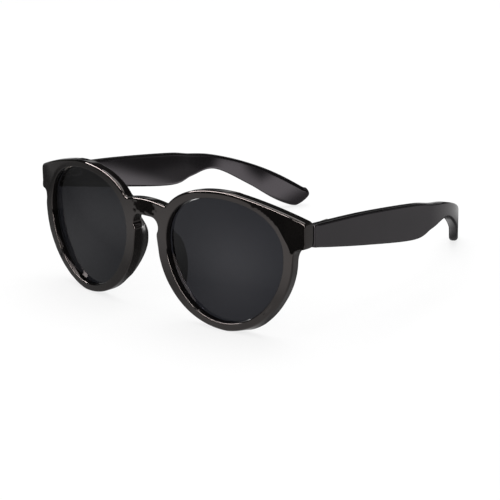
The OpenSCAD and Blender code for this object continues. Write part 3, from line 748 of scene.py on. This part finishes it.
def lensTree():  # a grid wrapped into a closed disc: rows run round, columns from front middle to back middle
    f, grow = front, lens["reach"]  # it reaches into the groove
    sizes = {"Centre X": f["openX"], "Half Width": f["halfW"] + grow, "Half Height": f["halfH"] + grow,
             "Shoulder": f["shoulder"], "Flat Top": f["flat"], "Low Lift": f["lift"], "Square": f["square"],
             "Wrap": f["wrap"], "Depth": lens["depth"], "Thickness": lens["thick"], "Crown": lens["crown"]}
    sizes = {label: size / 1000 for label, size in sizes.items()}
    tree, n, given, end = newTree("wrappedLens", {
        **sizes, "Side": 1.0, "Around": lens["around"], "Across": lens["across"], "Material": None})
    calc, plus, less, times = n.calc, n.plus, n.less, n.times
    rows = {"Size X": 1, "Size Y": 1, "Vertices X": given["Across"], "Vertices Y": given["Around"]}
    grid = n.add("GeometryNodeMeshGrid", rows)
    spot = n.add("GeometryNodeInputPosition").outputs[0]
    column, row, flat = n.add("ShaderNodeSeparateXYZ", {0: spot}).outputs
    u = times(column, 2.0)  # -1 front middle, 0 edge, 1 back middle
    a = times(plus(row, 0.5), 2 * math.pi)
    reach = calc("POWER", less(1.0, calc("ABSOLUTE", u)), 0.8)

    def wave(label, kind, turns):
        return times(given[label], calc(kind, times(a, float(turns))))
    along = plus(wave("Shoulder", "SINE", 2), wave("Square", "COSINE", 3))
    along = plus(wave("Half Width", "COSINE", 1), along)
    upward = less(wave("Half Height", "SINE", 1), wave("Low Lift", "COSINE", 2))
    upward = plus(upward, wave("Flat Top", "SINE", 3))
    x = times(plus(given["Centre X"], times(along, reach)), given["Side"])
    z = times(upward, reach)
    rear = times(calc("GREATER_THAN", u, 0.0), given["Thickness"])
    bulge = less(times(given["Half Height"], given["Half Height"]), times(z, z))
    bulge = calc("DIVIDE", bulge, times(given["Crown"], 2.0))
    inner = less(given["Wrap"], less(plus(given["Depth"], rear), calc("MAXIMUM", bulge, 0.0)))
    y = less(given["Wrap"], calc("SQRT", less(times(inner, inner), times(x, x))))
    where = n.add("ShaderNodeCombineXYZ", {0: x, 1: y, 2: z}).outputs[0]
    move = n.add("GeometryNodeSetPosition", {"Geometry": grid.outputs["Mesh"], "Position": where})
    weld = n.add("GeometryNodeMergeByDistance", {"Distance": 0.000002, 0: move.outputs[0]})
    closeTree(n, weld.outputs[0], given, end)
    return tree


lensNodes = lensTree()


def makeLens(name, side):
    start = bpy.data.meshes.new(name + "Base")
    piece = madeByNodes(name, start, lensNodes, {"Side": float(side)}, lensTint)
    spots = place(np.array([v.co for v in piece.data.vertices]) * 1000)
    for v, p in zip(piece.data.vertices, spots):
        v.co = p
    piece.data.update()
    return piece


lenses = {w: makeLens("roundLens" + w, s) for w, s in sides}
print("lenses made")

# The hinges: leaves from the CAD with broken edges, slotted screws and pins
hinge = dict(inward=5.7, behind=3.1, drop=4.8, knuckleR=1.6, knuckleH=2.1, gap=0.1, leaf=1.0, seat=0.04,
             pitch=3.4, spotIn=1.3, spotBack=1.4, clear=0.25, screwAt=(2.6, 6.6), pinUp=0.05, ease=0.00012)
hingeX = buttX - hinge["inward"]
hingeY = wrapY(hingeX, backR) + hinge["behind"]
hingeZ = front["endTop"] - hinge["drop"]
stackH = 3 * hinge["knuckleH"] + 2 * hinge["gap"]
smallScrew = {"Head Radius": 0.00095, "Head Height": 0.0005, "Shank Radius": 0.00055, "Shank Length": 0.0032,
              "Slot Width": 0.0003, "Slot Depth": 0.0003}
pinScrew = {"Head Radius": 0.00135, "Head Height": 0.0006, "Shank Radius": 0.0007, "Shank Length": 0.0065,
            "Slot Width": 0.00035, "Slot Depth": 0.00035}


def screwTree():  # a domed slotted screw on every point, along the point's axis
    tree, n, given, end = newTree("slottedScrews", {**smallScrew, "Facets": 40, "Material": None})

    def vector(*values):
        return n.add("ShaderNodeCombineXYZ", dict(enumerate(values))).outputs[0]

    def moved(shape, label, by):
        return n.add("GeometryNodeTransform", {"Geometry": shape, label: by}).outputs[0]

    def rod(radius, depth):
        sizes = {"Vertices": given["Facets"], "Radius": radius, "Depth": depth}
        return n.add("GeometryNodeMeshCylinder", sizes).outputs["Mesh"]

    def joined(operation, first, second):
        node = n.add("GeometryNodeMeshBoolean", operation=operation, solver="EXACT")
        n.feed(node, {"Mesh 1" if operation == "DIFFERENCE" else "Mesh 2": first})
        n.feed(node, {"Mesh 2": second})
        return node.outputs["Mesh"]
    radius, height, length = given["Head Radius"], given["Head Height"], given["Shank Length"]
    ball = n.add("GeometryNodeMeshUVSphere", {"Rings": 24, "Segments": given["Facets"], "Radius": radius})
    head = moved(ball.outputs["Mesh"], "Scale", vector(1, 1, n.calc("DIVIDE", height, radius)))
    above = moved(rod(radius, n.times(height, 2.2)), "Translation", vector(0, 0, n.times(height, 1.1)))
    shank = rod(given["Shank Radius"], length)
    shank = moved(shank, "Translation", vector(0, 0, n.times(length, -0.5)))
    screw = joined("UNION", joined("INTERSECT", head, above), shank)  # only the dome above the seat
    slotSize = vector(n.times(radius, 2.4), given["Slot Width"], n.times(given["Slot Depth"], 2.0))
    slot = n.add("GeometryNodeMeshCube", {"Size": slotSize}).outputs["Mesh"]
    screw = joined("DIFFERENCE", screw, moved(slot, "Translation", vector(0, 0, height)))
    axis = n.add("GeometryNodeInputNamedAttribute", {"Name": "axis"}, data_type="FLOAT_VECTOR")
    align = n.add("FunctionNodeAlignRotationToVector", {"Vector": axis.outputs["Attribute"]}, axis="Z")
    spread = n.add("GeometryNodeInstanceOnPoints", {"Points": given["Geometry"], "Instance": screw,
                                                    "Rotation": align.outputs["Rotation"]})
    closeTree(n, spread.outputs[0], given, end)
    return tree


screwNodes = screwTree()


def makeScrews(name, spots, values):  # spots: (place, direction that the head faces), millimetres
    mesh = bpy.data.meshes.new(name + "Base")
    mesh.from_pydata(place([s[0] for s in spots]).tolist(), [], [])
    axis = mesh.attributes.new("axis", "FLOAT_VECTOR", "POINT")
    for k, s in enumerate(spots):
        axis.data[k].vector = turned(s[1])
    return madeByNodes(name, mesh, screwNodes, values, screwSteel)


def frontScrewSpots(side):
    x0 = hingeX - hinge["spotIn"]
    a = math.asin(x0 / backR)
    out = np.array([-math.sin(a), math.cos(a), 0])
    along = np.array([math.cos(a), math.sin(a), 0])
    base = np.array([x0, wrapY(x0, backR), hingeZ]) + along * -hinge["spotBack"] + \
        out * (2 * hinge["seat"] + hinge["leaf"])
    flip = np.array([side, 1, 1])
    return [((base + [0, 0, s * hinge["pitch"] / 2]) * flip, out * flip) for s in (-1, 1)]


def templeScrewSpots(side):
    a = math.radians(temple["toeIn"])
    across, along = np.array([math.cos(a), math.sin(a), 0]), np.array([-math.sin(a), math.cos(a), 0])
    d = np.array([hingeX - buttX, hingeY - buttY])
    leafY = d[1] * math.cos(a) - d[0] * math.sin(a) + hinge["knuckleR"] + hinge["clear"]
    base = np.array([buttX, buttY, hingeZ]) - across * (temple["thick"] + 2 * hinge["seat"] + hinge["leaf"])
    flip = np.array([side, 1, 1])
    return [((base + along * (leafY + y)) * flip, -across * flip) for y in hinge["screwAt"]]


def pinSpot(side):
    return [((side * hingeX, hingeY, hingeZ + stackH / 2 + hinge["pinUp"]), (0, 0, 1))]


def easedCopy(node, name):  # the CAD leaf with its edges broken
    mesh = nodes[node].data.copy()
    mesh.materials.clear()
    bm = bmesh.new()
    bm.from_mesh(mesh)
    bmesh.ops.remove_doubles(bm, verts=bm.verts, dist=1e-6)
    bmesh.ops.dissolve_limit(bm, angle_limit=math.radians(1.5), verts=bm.verts, edges=bm.edges)
    bm.to_mesh(mesh)
    bm.free()
    holder = held(name, mesh)
    bevel = holder.modifiers.new("ease", "BEVEL")
    bevel.width = hinge["ease"]
    bevel.segments = 2
    bevel.limit_method = "ANGLE"
    bevel.angle_limit = math.radians(35)
    bevel.use_clamp_overlap = True
    return finished(name, plainMesh(holder), 35)


frontScrews = {w: makeScrews("frontLeafScrews" + w, frontScrewSpots(s), smallScrew) for w, s in sides}
templeScrews = {w: makeScrews("templeLeafScrews" + w, templeScrewSpots(s), smallScrew) for w, s in sides}
hingePins = {w: makeScrews("hingePin" + w, pinSpot(s), pinScrew) for w, s in sides}
frontLeaves, templeLeaves = {}, {}
for word in temples:
    frontLeaves[word] = easedCopy("front_hinge_leaf_" + word.lower(), "frontHingeLeaf" + word)
    templeLeaves[word] = easedCopy("temple_hinge_leaf_" + word.lower(), "templeHingeLeaf" + word)
print("hinges made")


# What each piece rides on, replaces and is finished in
def settle(piece, body, slot, material, *replaced):
    if not piece.data.materials:
        piece.data.materials.append(material)
    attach(piece, body)
    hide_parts(*replaced)


settle(frontPiece, "front", "frame", frontPlastic, "front_frame", "nose_pad_left", "nose_pad_right")
for word in temples:
    side = word.lower()
    settle(temples[word], side + "_temple", "temple", templePlastic, "temple_" + side)
    settle(lenses[word], "front", "lens", lensTint, "lens_" + side)
    settle(frontScrews[word], "front", "screw", screwSteel, "front_leaf_screws_" + side)
    settle(templeScrews[word], side + "_temple", "screw", screwSteel, "temple_leaf_screws_" + side)
    settle(hingePins[word], "front", "screw", screwSteel, "hinge_screw_" + side)
    settle(frontLeaves[word], "front", "hinge", hingeMetal, "front_hinge_leaf_" + side)
    settle(templeLeaves[word], side + "_temple", "hinge", hingeMetal, "temple_hinge_leaf_" + side)
    core = nodes["temple_core_" + side]
    core.data.materials.clear()
    core.data.materials.append(wireSteel)
print("pieces settled")


# The studio. Polished faces find painted light and shade on the white table, seen only in their reflections,
# with painted shadows between the temples and close to the rims: levels, and bands in metres as where each
# starts and ends, and how much it adds
studio = dict(floorShow=0.78, floorGloss=1.05, ambient=0.88, dark=0.03, sky=(0.7, 0.97, 0.9),
              lowRise=(0.17, 0.25), lowFall=(0.25, 0.34), behind=(0.05, 0.6, 0.6),
              asideX=(-0.9, -0.7), asideZ=(0.06, 0.16), aside=0.27)
level = dict(under=0.1, patch=2.2, beside=0.47, behind=0.6, ahead=0.24, contactShade=0.38)
band = dict(templeShadeY=(0.0, 0.025, 0.3), templeShadeX=(0.008, 0.024), patchStart=(0.018, 0.03),
            patchEnd=(0.042, 0.058), patchSide=(0.044, 0.056), beside=(-0.02, 0.01, 0.08),
            narrower=(-0.03, -0.012, 0.017), side=(0.045, 0.073), behind=(0.08, 0.11),
            aheadLeft=(-0.24, -0.08, 0.73), aheadRight=(-0.04, 0.03, 0.4), contactShadeRight=(-0.04, 0.02, 0.22),
            contactShadeFade=(0.06, 0.17), frontLine=(-0.066, -0.058))
lamps = dict(
    overheadSoftbox=dict(spot=(-0.1, 0.25, 0.9), target=(0, 0, 0), size=(0.9, 0.7), power=5),
    edgeStrip=dict(spot=(-0.417, -0.457, 0.793), target=(0, -0.06, 0.04), size=(1.2, 0.13), power=21,
                   colour=(1, 0.93, 0.92), along=(0.733, -0.508, 0.45), diffuse=False),
    innerStrip=dict(spot=(0.45, -0.8, 0.46), target=(0, -0.06, 0.03), size=(0.9, 0.14), power=14,
                    colour=(1, 0.95, 0.93), along=(0.75, -0.16, -0.64), diffuse=False))


def seenRays(n):  # how a ray got here, and whether the camera sees the spot, straight or through a lens
    path = n.add("ShaderNodeLightPath").outputs
    return path, n.calc("MAXIMUM", path["Is Camera Ray"], path["Is Transmission Ray"])


def makeFloor():
    mesh = bpy.data.meshes.new("studioFloor")
    mesh.from_pydata([(-0.6, -0.5, 0), (0.6, -0.5, 0), (0.6, 0.8, 0), (-0.6, 0.8, 0)], [], [(0, 1, 2, 3)])
    floor = bpy.data.objects.new("studioFloor", mesh)
    bpy.context.scene.collection.objects.link(floor)
    material, n, shader = principled("whiteTable")
    plus, less, times, rise, fall = n.plus, n.less, n.times, n.rise, n.fall
    path, seen = seenRays(n)
    where = n.add("ShaderNodeTexCoord").outputs["Object"]
    x, y, z = n.add("ShaderNodeSeparateXYZ", {0: where}).outputs
    width = n.calc("ABSOLUTE", x)

    def blend(weight, a, b):
        return plus(times(weight, b), times(less(1.0, weight), a))
    # between the temples: painted shade, darkest in the near temple's painted shadow, with a painted bright
    # patch across
    inside = plus(level["under"], times(rise(y, *band["templeShadeY"]), fall(x, *band["templeShadeX"])))
    patch = times(rise(y, *band["patchStart"]), fall(y, *band["patchEnd"]))
    inside = blend(times(patch, fall(width, *band["patchSide"])), inside, level["patch"])
    # beside and behind them: painted light, at levels below the plain table
    beside = plus(level["beside"], rise(y, *band["beside"]))
    outward = less(width, rise(y, *band["narrower"]))
    around = plus(times(rise(outward, *band["side"]), less(beside, inside)), inside)
    around = blend(rise(y, *band["behind"]), around, level["behind"])
    # in front of the lenses: painted light, brighter to the right, with a painted contact shadow close to the
    # rims that fades further ahead
    ahead = plus(plus(level["ahead"], rise(x, *band["aheadLeft"])), rise(x, *band["aheadRight"]))
    contactShade = plus(level["contactShade"], rise(x, *band["contactShadeRight"]))
    ahead = times(ahead, n.calc("MAXIMUM", contactShade, rise(times(y, -1.0), *band["contactShadeFade"])))
    mirrored = plus(ahead, times(rise(y, *band["frontLine"]), less(around, ahead)))
    glossy = times(path["Is Glossy Ray"], less(1.0, path["Is Transmission Ray"]))
    strength = plus(times(glossy, times(mirrored, studio["floorGloss"])), less(1.0, glossy))
    grain = n.add("ShaderNodeTexNoise", {"Scale": 30, "Vector": where})
    n.feed(shader, {"Base Color": n.ramp(grain.outputs[0], (0.86, 0.86, 0.86), (0.9, 0.9, 0.9)),
                    "Roughness": 0.8, "Specular IOR Level": 0.1})
    glow = n.add("ShaderNodeEmission", {"Color": (1, 1, 1, 1), "Strength": strength})
    shown = n.calc("MAXIMUM", times(seen, studio["floorShow"]), glossy)
    mix = n.add("ShaderNodeMixShader", {0: shown, 1: shader.outputs[0], 2: glow.outputs[0]})
    n.feed(material.node_tree.nodes["Material Output"], {"Surface": mix.outputs[0]})
    mesh.materials.append(material)


def makeWorld():
    world = bpy.data.worlds.new("studioWorld")
    bpy.context.scene.world = world
    world.use_nodes = True
    n = toolsFor(world.node_tree)
    plus, less, times, rise, fall = n.plus, n.less, n.times, n.rise, n.fall
    path, seen = seenRays(n)
    x, y, z = n.add("ShaderNodeSeparateXYZ", {0: n.add("ShaderNodeTexCoord").outputs["Generated"]}).outputs
    low = times(rise(z, *studio["lowRise"]), fall(z, *studio["lowFall"]))
    aside = times(fall(x, *studio["asideX"]), fall(z, *studio["asideZ"]))
    bright = n.calc("MAXIMUM", rise(z, *studio["sky"]), times(low, rise(y, *studio["behind"])))
    light = plus(plus(studio["dark"], times(aside, studio["aside"])), bright)
    light = n.calc("MAXIMUM", light, times(path["Is Diffuse Ray"], studio["ambient"]))
    strength = plus(seen, times(less(1.0, seen), light))
    n.feed(world.node_tree.nodes["Background"], {"Color": (1, 1, 1, 1), "Strength": strength})


def areaLight(name, spot, target, size, power, colour=(1, 1, 1), along=(1, 0, 0), diffuse=True):
    data = bpy.data.lights.new(name, "AREA")
    data.shape = "RECTANGLE"
    data.size, data.size_y = size
    data.energy = power
    data.color = colour
    light = bpy.data.objects.new(name, data)
    light.location = spot
    z = (Vector(spot) - Vector(target)).normalized()
    x = (Vector(along) - z * z.dot(Vector(along))).normalized()  # its long side
    light.rotation_euler = Matrix((x, z.cross(x), z)).transposed().to_euler()
    bpy.context.scene.collection.objects.link(light)
    light.visible_diffuse = diffuse


makeFloor()
makeWorld()
for name, lamp in lamps.items():
    areaLight(name, **lamp)
bpy.context.scene.view_settings.view_transform = "Standard"
print("studio set")
